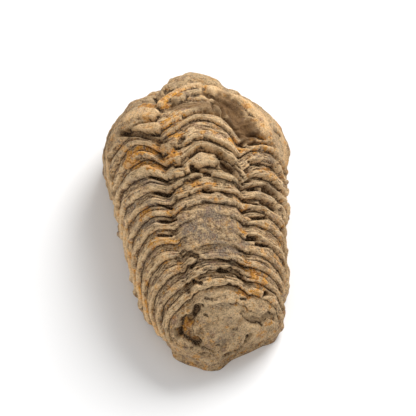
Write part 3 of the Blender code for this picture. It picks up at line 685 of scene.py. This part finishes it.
def segment_amount(line, angle, spacing):
    """How much of the rings is left: less on the tail, where worn and where segments crowd."""
    fade, end = TAIL_FADE
    amount = smooth(*RINGS_FROM, line) * (1 - TAIL_FADE_PART * smooth(*fade, line))
    amount = amount * (1 - smooth(*end, line))
    on_right, on_left = smooth(*FLANK_FROM, angle), smooth(*FLANK_FROM, -angle)
    amount = amount * (1 - on_right * (1 - smooth(*SMOOTH_RIGHT_ENDS, line)))
    amount = amount * (1 - on_left * (1 - smooth(*SMOOTH_LEFT_ENDS, line)))
    far = ((line - WORN_LINE) / WORN_LINES) ** 2 + ((angle - WORN_ANGLE) / WORN_SPREAD) ** 2
    amount = amount * (1 - WORN_PART * np.exp(-(far**2)))
    amount = amount * smooth(*CROWDED, spacing)
    amount = amount * (1 - smooth(*RIB_ENDS_LEFT, -angle)) * (1 - smooth(*RIB_ENDS_RIGHT, angle))
    ring = np.clip(np.floor(line), 0, len(RING_AMOUNT) - 1).astype(int)
    low_right = LOW_RIBS_PART * on_right * smooth(*LOW_RIBS_LINE, line)
    return amount * (1 - low_right) * np.take(RING_AMOUNT, ring)


def head_relief(line, angle, point):
    """The raised rim round the head, its eyes and its side lobes."""
    height = point[..., 2]
    rim = RIM_RISE * bump(height, RIM_Z, RIM_HALF) - RIM_FURROW_DEPTH * bump(height, RIM_FURROW_Z, RIM_HALF)
    relief = rim * (1 - smooth(*RIM_LINES, line)) * (1 - smooth(*RIM_ENDS, np.abs(angle)))
    for rise, radius, knob_line, degrees in KNOBS:
        centre = back_point(np.array(knob_line), math.radians(degrees))
        relief = relief + rise * bump(np.linalg.norm(point - centre, axis=-1), 0, radius)
    return relief


def ring_phase(line, angle):
    """The line as the rings count it: a whole number at the rear edge of each ring."""
    stations = np.radians(EDGE_DEGREES)
    edges = [through(stations, row, angle) for row in RING_EDGES]
    phase = np.minimum(line - edges[0], 0) + np.maximum(line - len(RING_EDGES), 0)
    for front, rear in zip(edges, [*edges[1:], len(RING_EDGES)]):
        phase = phase + np.clip((line - front) / (rear - front), 0, 1)
    return phase


def lag_of_ribs(line, degrees):
    """How far back the ribs run on the flanks, in segments."""
    rear = smooth(*LAG_REAR_FROM, line)
    left = through(LAG_DEGREES, LAG_LEFT_FRONT, -degrees) * (1 - rear)
    left = left + through(LAG_DEGREES, LAG_LEFT_REAR, -degrees) * rear
    right = through(LAG_DEGREES, LAG_RIGHT, degrees)
    return np.where(degrees < 0, left, right) * (1 - smooth(*LAG_ENDS, line))


def flat_noise(first, second, seed):
    return noise_at(np.stack([first, second, np.full_like(first, seed)], -1), 1.0, seed)


def along_ring(phase, angle, run, seed):
    """Noise that changes along a ring and from ring to ring, but not across one."""
    return flat_noise(angle * CREST_RADIUS / run, RING_STEP * np.floor(phase), seed)


def breakage(line, angle):
    on_right, on_left = smooth(*RIB_FROM, angle), smooth(*RIB_FROM, -angle)
    axis, left, right = (through(BROKEN_LINES, row, line) for row in BROKEN)
    return axis * (1 - on_right - on_left) + (on_right * right + on_left * left)


def plate_relief(phase, angle, broken):
    """One plate after another, each in broken layers with a chipped rear lip, and ribs on the flanks."""
    place = phase % 1
    chips = [(part, along_ring(phase, angle, run, LIP_SEED + run)) for part, run in LIP_LOST]
    left = 1 - sum(part * smooth(*LIP_NOISE, field) for part, field in chips) * broken
    on_flank = smooth(*RIB_FROM, np.abs(angle))
    relief = np.interp(place / left, SEGMENT_AT, SEGMENT_HEIGHT) * (1 - on_flank)
    relief = relief + np.interp(place / left, RIB_AT, RIB_HEIGHT) * on_flank
    for number, (at, rise) in enumerate(LEDGES):
        ledge = at + LEDGE_STRAYS * along_ring(phase, angle, LEDGE_RUN, LEDGE_SEED + number)
        varied = LEDGE_VARIES * along_ring(phase, angle, LEDGE_RUN, LEDGE_HEIGHT_SEED + number)
        height = rise * np.clip(LEDGE_HEIGHT + varied, 0, LEDGE_MOST) * no_less(LEDGE_LEAST, broken)
        relief = relief + height * (smooth(ledge - LEDGE_HALF, ledge + LEDGE_HALF, place) - 0.5)
        crack = bump(place, ledge - LEDGE_CRACK_AHEAD, LEDGE_HALF)
        relief = relief - LEDGE_CRACK * (height / rise) * crack
    return relief


def along_layers(line, angle, count, length, seed):
    """Noise drawn out along the rings, as thin layers of stone are."""
    return flat_noise(line * count, angle * CREST_RADIUS / length, seed)


def breaks(point, ragged):
    """The relief of all breaks, how much they leave of the rings, and how much dirt and painted shade they
    hold.
    """
    raised = lowered = dirt_and_shade = np.zeros(point.shape[:-1])
    left = np.ones(point.shape[:-1])
    starts, ends = BREAK_EDGE
    for height, radius, *form, course in BREAKS:
        wall, wipe = form or CRACK
        far = distance_to(course, point) / radius + ragged * min(1.0, RAGGED_RADIUS / radius)
        inside = 1 - smooth(starts * wall, ends, far)
        raised = np.maximum(raised, height * inside)
        lowered = np.minimum(lowered, height * inside)
        if radius < UNDARKENED_RADIUS:
            dirt_and_shade = np.minimum(dirt_and_shade, height * inside)
        left = left * (1 - wipe * inside)
    return raised + lowered, left, np.clip(-dirt_and_shade / DIRT_AND_SHADE_DEPTH, 0, 1)


def margin_shift(point, angle):
    reach = np.zeros(point.shape[:-1])
    for distance, radius, course in MARGIN:
        reach = reach + distance * (1 - smooth(*MARGIN_EDGE, distance_to(course, point) / radius))
    return reach * smooth(*MARGIN_FROM, np.abs(angle))


def patches(point, ragged, courses):
    amount = np.zeros(point.shape[:-1])
    for strength, radius, course in courses:
        far = distance_to(course, point) / radius + ragged
        amount = np.maximum(amount, strength * (1 - smooth(*PATCH_EDGE, far)))
    return amount


def blurred(field, times):
    for _ in range(times):
        wide = np.pad(field, 1, mode="edge")
        field = (wide[:-2, 1:-1] + wide[2:, 1:-1] + wide[1:-1, :-2] + wide[1:-1, 2:] + 2 * field) / 6
    return field


def grid():
    """Lines from the tip of the head to the apex of the tail, and angles from foot to foot."""
    lines = np.concatenate([
        np.linspace(FIRST_LINE, 0, HEAD_ROWS, endpoint=False),
        np.linspace(0, THORAX_END, int(THORAX_END) * SEGMENT_ROWS, endpoint=False),
        np.linspace(THORAX_END, TAIL_END, int(TAIL_END - THORAX_END) * TAIL_SEGMENT_ROWS, endpoint=False),
        np.linspace(TAIL_END, LAST_LINE, REAR_ROWS),
    ])
    half = np.concatenate([
        np.linspace(0, QUARTER, QUARTER_COLUMNS, endpoint=False)[1:],
        np.linspace(QUARTER, GROUND_ANGLE, FOOT_COLUMNS),
    ])
    return np.meshgrid(lines, np.concatenate([-half[::-1], [0.0], half]), indexing="ij")


def ring_place(line, angle, point):
    """The line as the rings count it, wavering, ahead in the furrows and behind on the flanks."""
    wander = sum(amount * noise_at(point, size, RING_SEED) for amount, size in WOBBLE)
    lead = FURROW_LEAD * bump(beside_axis(point), axis_half_width(line, point[..., 1]), FURROW_LEAD_WIDTH)
    lead = lead - lag_of_ribs(line, np.degrees(angle))
    return ring_phase(line, angle) + (wander + lead) * smooth(*WOBBLE_FROM, line)


def thin_layers(phase, angle, crumbled):
    """Thin layers of stone along the rings, with flakes lost from them."""
    relief = np.zeros_like(phase)
    for depth, count, length in FLAKES:
        lost = along_layers(phase, angle, count, length, FLAKE_SEED + count)
        relief = relief - depth * crumbled * smooth(*FLAKE_NOISE, lost)
    for rise, count, length in LAYERS:
        relief = relief + rise * along_layers(phase, angle, count, length, count)
    return relief


def weathered_back():
    """Every point of the back in mm, with what the material needs to know about it."""
    line, angle = grid()
    turn = np.abs(angle)
    point = back_point(line, angle)
    out, rear, spacing = outward(line, angle)
    phase = ring_place(line, angle, point)
    ragged = sum(RAGGED * noise_at(point, size, seed) for size, seed in RAGGED_NOISE)
    polished = patches(point, SMOOTH_RAGGED * ragged, SMOOTH_STONE)
    uneven = 1 - SMOOTHED * polished
    broken, left, sunk = breaks(point, ragged * uneven)
    amount = segment_amount(phase, angle, spacing) * left
    ringed = np.clip(amount, 0, 1)
    crumbled = breakage(line, angle)

    chipped = crumbled * smooth(*CHIP_NOISE, noise_at(point, CHIP_ACROSS, CHIP_SEED))
    layered = thin_layers(phase, angle, crumbled) * no_less(CROWDED_LEAST, smooth(*CROWDED_LAYERS, spacing))
    layered = layered * no_less(BALD_LEAST, ringed)
    rough = ROUGH * noise_at(point, ROUGH_ACROSS, 0.0, OCTAVES) * no_less(ROUGH_LEAST, crumbled)
    rough = SWELL * noise_at(point, SWELL_ACROSS) + rough
    grit = sum(rise * noise_at(point, size, size) for rise, size in GRIT) * no_less(GRIT_LEAST, crumbled)
    relief = amount * plate_relief(phase, angle, crumbled)
    relief = relief - CHIP_DEPTH * chipped * no_less(BALD_LEAST, ringed) * (1 - polished)
    relief = relief + left * axis_relief(line, angle, point) + head_relief(line, angle, point) + broken
    relief = relief + (rough + grit + layered) * uneven
    relief = relief * (1 - smooth(*GROUND_FADE, turn)) * smooth(*NARROW_FADE, half_width(point[..., 1]))

    slip = SLIP * amount * bump(phase % 1, STEP_AT, SLIP_SPREAD)
    place = point + out * relief[..., None] + rear * slip[..., None]
    place = place + unit(out * (1, 1, 0)) * margin_shift(point, angle)[..., None]
    place[..., 2] = np.where(turn > GROUND_FADE[1], 0, np.maximum(place[..., 2], LEAST_HEIGHT))

    low_on_head = smooth(*HEAD_SIDE_PLAIN, turn) * (1 - smooth(*HEAD_SIDE_LINES, line))
    hollows_shown = smooth(*HEAD_FRONT_PLAIN, line) * (1 - low_on_head)
    mesh_fields = {name: patches(point, ragged, courses) for name, courses in COLOUR_PATCHES.items()}
    # Painted shade in hollows and painted highlight on crests, from the relief against its blur.
    for name, (times, gain) in HOLLOWS.items():
        hollow = (blurred(relief, times) - relief) * hollows_shown
        mesh_fields[name] = np.clip(0.5 + gain * hollow, 0, 1)
    # Dirt and painted shade, darker the deeper a narrow break.
    mesh_fields["deep"] = sunk
    mesh_fields["polished"] = polished
    mesh_fields["plates"] = ringed
    # Painted shade in the recessed front band of each segment.
    mesh_fields["band"] = ringed * (1 - smooth(*BAND_ENDS, phase % 1)) * smooth(*BAND_STARTS, phase % 1)
    mesh_fields["rear"] = smooth(*REAR_LINES, line)
    course = np.stack([phase * SEGMENT_LENGTH, angle * CREST_RADIUS / STREAK_STRETCH, 0 * line], -1)
    return place, mesh_fields, course


def with_underside(field):
    """The back's values for every point of the mesh. The foot's run on below, and each end takes a mean."""
    tail = field.shape[2:]
    under = np.repeat(field[:, :1], UNDER_COLUMNS - 1, axis=1)
    rings = np.concatenate([field, under], axis=1).reshape(-1, *tail)
    ends = [field[0].mean(0), field[-1].mean(0)]
    return np.concatenate([rings, np.reshape(ends, (2, *tail))]).astype(np.float32)


def fossil_mesh():
    """Quads over the back and across the underside, with a fan at each end."""
    back, mesh_fields, course = weathered_back()
    part = (np.arange(1, UNDER_COLUMNS) / UNDER_COLUMNS)[None, :, None]
    under = back[:, -1:, :] * (1 - part) + back[:, :1, :] * part
    rings = np.concatenate([back, under], axis=1)
    rows, columns = rings.shape[:2]
    rings = (rings - [*MIDDLE_OF_LOFT, 0]) * MM
    number = np.arange(rows * columns).reshape(rows, columns)
    on = np.roll(number, -1, axis=1)
    quads = np.stack([number[:-1], number[1:], on[1:], on[:-1]], -1).reshape(-1, 4)
    ends = [(number[0], rings[0].mean(0), 1), (number[-1], rings[-1].mean(0), -1)]
    points = [rings.reshape(-1, 3)]
    faces = quads.tolist()
    for extra, (ring, centre, turn) in enumerate(ends):
        points.append(centre[None])
        middle = rows * columns + extra
        pairs = zip(ring, np.roll(ring, -1))
        faces += [(int(a), int(b), middle) if turn > 0 else (int(b), int(a), middle) for a, b in pairs]
    mesh = bpy.data.meshes.new("weathered_stone")
    mesh.from_pydata(np.concatenate(points).tolist(), [], faces)
    mesh.update()
    for name, field in mesh_fields.items():
        mesh.attributes.new(name, "FLOAT", "POINT").data.foreach_set("value", with_underside(field).ravel())
    vectors = mesh.attributes.new("course", "FLOAT_VECTOR", "POINT")
    vectors.data.foreach_set("vector", with_underside(course).ravel())
    mesh.shade_smooth()
    return mesh


# ---- the stone, in linear colours
TAN = (0.68, 0.415, 0.185)
FAWN = (0.45, 0.26, 0.11)
CREAM = (0.84, 0.60, 0.34)
STONE_GREY = (0.205, 0.165, 0.135)
MAUVE = (0.37, 0.225, 0.17)
OCHRE_LIGHT = (0.78, 0.345, 0.035)
OCHRE_DARK = (0.48, 0.17, 0.018)
BAND_BROWN = (0.21, 0.13, 0.068)
# Brown stain and painted shade of the hollows, dark and light.
RUST_AND_SHADE_DARK = (0.085, 0.042, 0.016)
RUST_AND_SHADE_LIGHT = (0.165, 0.087, 0.034)
UMBER = (0.125, 0.06, 0.024)
# Painted shade in creases.
CREASE_SHADE = (0.045, 0.027, 0.015)

# Noise through the stone: size (mm), detail and roughness.
SPECKLES = {
    "patches": (3.5, 3.0, 0.55),
    "cream lumps": (2.6, 4.0, 0.55),
    "brown lumps": (2.3, 4.0, 0.55),
    "grey lumps": (2.2, 4.0, 0.55),
    "ochre spots": (1.9, 5.0, 0.55),
    "mauve spots": (1.5, 5.0, 0.65),
    "ochre lumps": (1.1, 4.0, 0.55),
    "rust_and_shade_grain": (0.9, 7.0, 0.75),
    "specks": (0.9, 7.0, 0.85),
    "mottle": (0.8, 4.0, 0.55),
    "pimples": (0.6, 4.0, 0.65),
    "grain": (0.3, 4.0, 0.7),
}
# Noise drawn out along the rings, in the same terms.
STREAKS = {"broad streaks": (0.8, 4.0, 0.6), "thin streaks": (0.35, 4.0, 0.7)}
# What the mesh tells about each point.
MESH_FIELDS = (*COLOUR_PATCHES, *HOLLOWS, "deep", "polished", "plates", "band", "rear")

# Fields made from others: the other, where it starts and is full, and how strong the field gets.
RAMPS = {
    "streaked": ("plates", -1.6, 1.0),
    "grey blotches": ("grey lumps", 0.4, 0.7, 0.8),
    "ochre blotches": ("ochre lumps", 0.35, 0.65),
    "light ochre": ("mottle", 0.42, 0.55),
    "lighter_rust_and_shade": ("rust_and_shade_grain", 0.4, 0.6),
    "roughness": ("mottle", 0.2, 0.8, 0.2),
    "bumpiness": ("polished", 1.8, 0.0),
}
OCHRE_LESS_ON_GREY = 0.1

# Coats of colour on the fawn stone, from the lowest up: the field that one follows, where that starts and
# is full (None for the field as it is), the coat's strength, its colour and what holds it back.
COATS = (
    ("patches", (0.4, 0.6), 1.0, TAN),
    ("cream lumps", (0.52, 0.62), 0.7, CREAM),
    ("brown lumps", (0.46, 0.37), 0.45, BAND_BROWN),
    # Streaks along the plates and ribs, and mottling where there are none.
    ("broad", (0.51, 0.56), 0.75, CREAM, "streaked"),
    ("broad", (0.47, 0.42), 0.85, STONE_GREY, "streaked"),
    # Painted shade: brown mottling in the recessed front band of each segment.
    ("mottle", (0.25, 0.5), 0.85, BAND_BROWN, "band"),
    ("fine", (0.515, 0.55), 0.9, CREAM, "streaked"),
    ("fine", (0.48, 0.44), 0.95, UMBER, "streaked"),
    # Smooth, grey, mauve and pale places.
    ("polished", (0.2, 1.0), 0.6, TAN),
    ("mottle", (0.4, 0.6), 0.15, STONE_GREY, "rear"),
    ("greyness", (0.6, 1.3), 0.85, STONE_GREY),
    ("mauve spots", (0.55, 0.64), 0.6, MAUVE),
    # Pale patches, some of them painted light and highlight.
    ("pale", None, 0.6, CREAM),
    # Ochre in its own patches and thinly everywhere.
    ("rustiness", (0.9, 1.15), 0.9, "ochre"),
    ("scattered", (0.56, 0.64), 0.65, "ochre"),
    # Painted highlight on raised crests and sharp edges, painted shade in what is sunk, low and creased,
    # dirt and painted shade in deep breaks, and grain.
    ("sunk", (0.42, 0.15), 0.25, CREAM),
    ("low", (0.6, 1.0), 0.4, UMBER),
    ("sunk", (0.57, 0.8), 0.78, UMBER),
    ("deep", (0.6, 1.0), 0.6, UMBER),
    ("crease", (0.57, 0.82), 0.85, CREASE_SHADE),
    ("crease", (0.38, 0.1), 0.45, CREAM),
    ("grain", (0.5, 0.64), 0.55, UMBER),
    ("grain", (0.5, 0.38), 0.55, CREAM),
    # The brown stain and painted shade of the hollows.
    ("brown_and_shade", (0.1, 1.0), 0.93, "rust_and_shade"),
)
ROUGHNESS = 0.75
SPECULAR = 0.2
# Fine bumps: their height (mm), and what they follow beside the pimples and how much.
BUMP_HEIGHT = 0.5
BUMPS = (("broad", 1.6), ("fine", 1.5))

# A Mix node's sockets: the part and both colours, and the colour that it gives.
MIX_INPUTS = (0, 6, 7)
MIX_OUTPUT = 2


class Nodes:
    """Short ways to add the nodes of one material."""

    def __init__(self, tree):
        self.tree = tree
        self.place = self.add("ShaderNodeTexCoord").outputs["Object"]

    def add(self, kind, inputs=None, **settings):
        node = self.tree.nodes.new(kind)
        for name, value in settings.items():
            setattr(node, name, value)
        self.feed(node, inputs or {})
        return node

    def feed(self, node, inputs):
        """Link each input to a socket, or set it to a colour or a number."""
        for name, value in inputs.items():
            if isinstance(value, bpy.types.NodeSocket):
                self.tree.links.new(value, node.inputs[name])
            elif isinstance(value, tuple):
                node.inputs[name].default_value = (*value, 1.0)
            else:
                node.inputs[name].default_value = value

    def mesh_field(self, name):
        return self.add("ShaderNodeAttribute", attribute_name=name).outputs["Fac"]

    def speckle(self, across, detail, rough):
        """Noise with lumps that many mm across."""
        return self.noise(self.place, across * MM, detail, rough)

    def streak(self, across, detail, rough):
        """Noise that many mm across, drawn out along the rings."""
        course = self.add("ShaderNodeAttribute", attribute_name="course").outputs["Vector"]
        return self.noise(course, across, detail, rough)

    def noise(self, place, across, detail, rough):
        inputs = {"Vector": place, "Scale": 1 / across, "Detail": detail, "Roughness": rough}
        return self.add("ShaderNodeTexNoise", inputs).outputs["Fac"]

    def ramp(self, value, low, high, top=1.0):
        """From 0 where the value is at low, smoothly to top where it is at high."""
        inputs = {"Value": value, "From Min": low, "From Max": high, "To Max": top}
        return self.add("ShaderNodeMapRange", inputs, interpolation_type="SMOOTHSTEP").outputs["Result"]

    def maths(self, kind, first, second):
        return self.add("ShaderNodeMath", {0: first, 1: second}, operation=kind).outputs[0]

    def mix(self, part, first, second):
        """From the first colour at part 0 to the second at part 1."""
        inputs = dict(zip(MIX_INPUTS, (part, first, second)))
        return self.add("ShaderNodeMix", inputs, data_type="RGBA").outputs[MIX_OUTPUT]


def new_material(name):
    material = bpy.data.materials.new(name)
    material.use_nodes = True
    return material, Nodes(material.node_tree), material.node_tree.nodes["Principled BSDF"]


def stone_fields(nodes):
    """Everything that the coats of colour and the bumps follow, by name."""
    field = {name: nodes.mesh_field(name) for name in MESH_FIELDS}
    field |= {name: nodes.speckle(*terms) for name, terms in SPECKLES.items()}
    field |= {name: nodes.streak(*terms) for name, terms in STREAKS.items()}
    field |= {name: nodes.ramp(field[other], *terms) for name, (other, *terms) in RAMPS.items()}
    field["fine"] = nodes.mix(field["plates"], field["specks"], field["thin streaks"])
    field["broad"] = nodes.mix(field["plates"], field["mottle"], field["broad streaks"])
    field["greyness"] = nodes.maths("ADD", field["grey"], field["grey blotches"])
    field["rustiness"] = nodes.maths("ADD", field["ochre"], field["ochre blotches"])
    held_back = nodes.maths("MULTIPLY", field["grey"], OCHRE_LESS_ON_GREY)
    field["scattered"] = nodes.maths("SUBTRACT", field["ochre spots"], held_back)
    return field


def stone_material():
    """Fawn limestone under its coats of colour, with bumps too fine for the mesh."""
    material, nodes, shader = new_material("weathered_limestone")
    field = stone_fields(nodes)
    mixed = {
        "ochre": nodes.mix(field["light ochre"], OCHRE_DARK, OCHRE_LIGHT),
        # Brown stain and painted shade of the hollows.
        "rust_and_shade": nodes.mix(field["lighter_rust_and_shade"], RUST_AND_SHADE_DARK, RUST_AND_SHADE_LIGHT),
    }
    colour = FAWN
    for name, rise, strength, tint, *holders in COATS:
        if rise:
            part = nodes.ramp(field[name], *rise, strength)
        else:
            part = nodes.maths("MULTIPLY", field[name], strength)
        for holder in holders:
            part = nodes.maths("MULTIPLY", field[holder], part)
        colour = nodes.mix(part, colour, mixed.get(tint, tint))
    height = field["pimples"]
    for name, gain in BUMPS:
        height = nodes.maths("ADD", height, nodes.maths("MULTIPLY", field[name], gain))
    bumps = {"Height": height, "Strength": field["bumpiness"], "Distance": BUMP_HEIGHT * MM}
    normal = nodes.add("ShaderNodeBump", bumps).outputs["Normal"]
    roughness = nodes.maths("ADD", field["roughness"], ROUGHNESS)
    nodes.feed(shader, {"Base Color": colour, "Normal": normal})
    nodes.feed(shader, {"Roughness": roughness, "Specular IOR Level": SPECULAR})
    return material


# ---- floor, light and camera
FLOOR_HALF = 1.5
PAPER_DARK = (0.90, 0.90, 0.90)
PAPER_LIGHT = (0.93, 0.93, 0.93)
PAPER_NOISE = (40.0, 3.0, 0.55)
PAPER_ROUGHNESS = 0.9
# Each lamp: place (m), size (m), power (W).
LAMPS = {
    "key": (Vector((0.26, 0.27, 0.40)), 0.30, 3.15),
    "fill": (Vector((-0.40, -0.36, 0.14)), 0.30, 0.8),
}
SKY = 0.54
WHITE = (1.0, 1.0, 1.0, 1.0)
# The picture's width, the lens and its film (mm), and how far the lens sees (m).
PICTURE_WIDE = 85.3
LENS = 300.0
SENSOR = 36.0
FAR = 10.0
# Where the camera looks from, and the point it looks at: up the picture and towards the camera (mm).
AZIMUTH = math.radians(-8.0)
ELEVATION = math.radians(62.0)
AIM_UP = 2.5
AIM_BACK = 11.6


def placed(name, data):
    thing = bpy.data.objects.new(name, data)
    bpy.context.scene.collection.objects.link(thing)
    return thing


def paper():
    material, nodes, shader = new_material("white_paper")
    colour = nodes.mix(nodes.speckle(*PAPER_NOISE), PAPER_DARK, PAPER_LIGHT)
    nodes.feed(shader, {"Base Color": colour, "Roughness": PAPER_ROUGHNESS})
    return material


def floor():
    mesh = bpy.data.meshes.new("floor")
    corners = [(x * FLOOR_HALF, y * FLOOR_HALF, 0) for x, y in ((-1, -1), (1, -1), (1, 1), (-1, 1))]
    mesh.from_pydata(corners, [], [(0, 1, 2, 3)])
    mesh.materials.append(paper())
    plane = placed("floor", mesh)


def lights():
    for name, (place, size, watts) in LAMPS.items():
        light = bpy.data.lights.new(name, "AREA")
        light.energy = watts
        light.size = size
        lamp = placed(name, light)
        lamp.location = place
        lamp.rotation_euler = place.to_track_quat("Z", "Y").to_euler()
    world = bpy.data.worlds.new("studio")
    world.use_nodes = True
    background = world.node_tree.nodes["Background"]
    background.inputs["Color"].default_value = WHITE
    background.inputs["Strength"].default_value = SKY
    bpy.context.scene.world = world
    bpy.context.scene.view_settings.view_transform = "Standard"


def camera():
    """A long lens, above and a little to the left of the tail."""
    flat = math.cos(ELEVATION)
    back = Vector((math.sin(AZIMUTH) * flat, -math.cos(AZIMUTH) * flat, math.sin(ELEVATION)))
    turn = back.to_track_quat("Z", "Y")
    up = turn @ Vector((0, 1, 0))
    lens = bpy.data.cameras.new("camera")
    lens.lens = LENS
    lens.sensor_width = SENSOR
    lens.clip_end = FAR
    eye = placed("camera", lens)
    loft = Vector((-MIDDLE_OF_LOFT[0], -MIDDLE_OF_LOFT[1], 0))
    distance = PICTURE_WIDE * LENS / SENSOR
    eye.location = (loft + up * AIM_UP + back * (AIM_BACK + distance)) * MM
    eye.rotation_euler = turn.to_euler()
    bpy.context.scene.camera = eye


def fossil():
    mesh = fossil_mesh()
    mesh.materials.append(stone_material())
    piece = placed("weathered_stone", mesh)
    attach(piece, "root")
    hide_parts(NODE)


fossil()
floor()
lights()
camera()
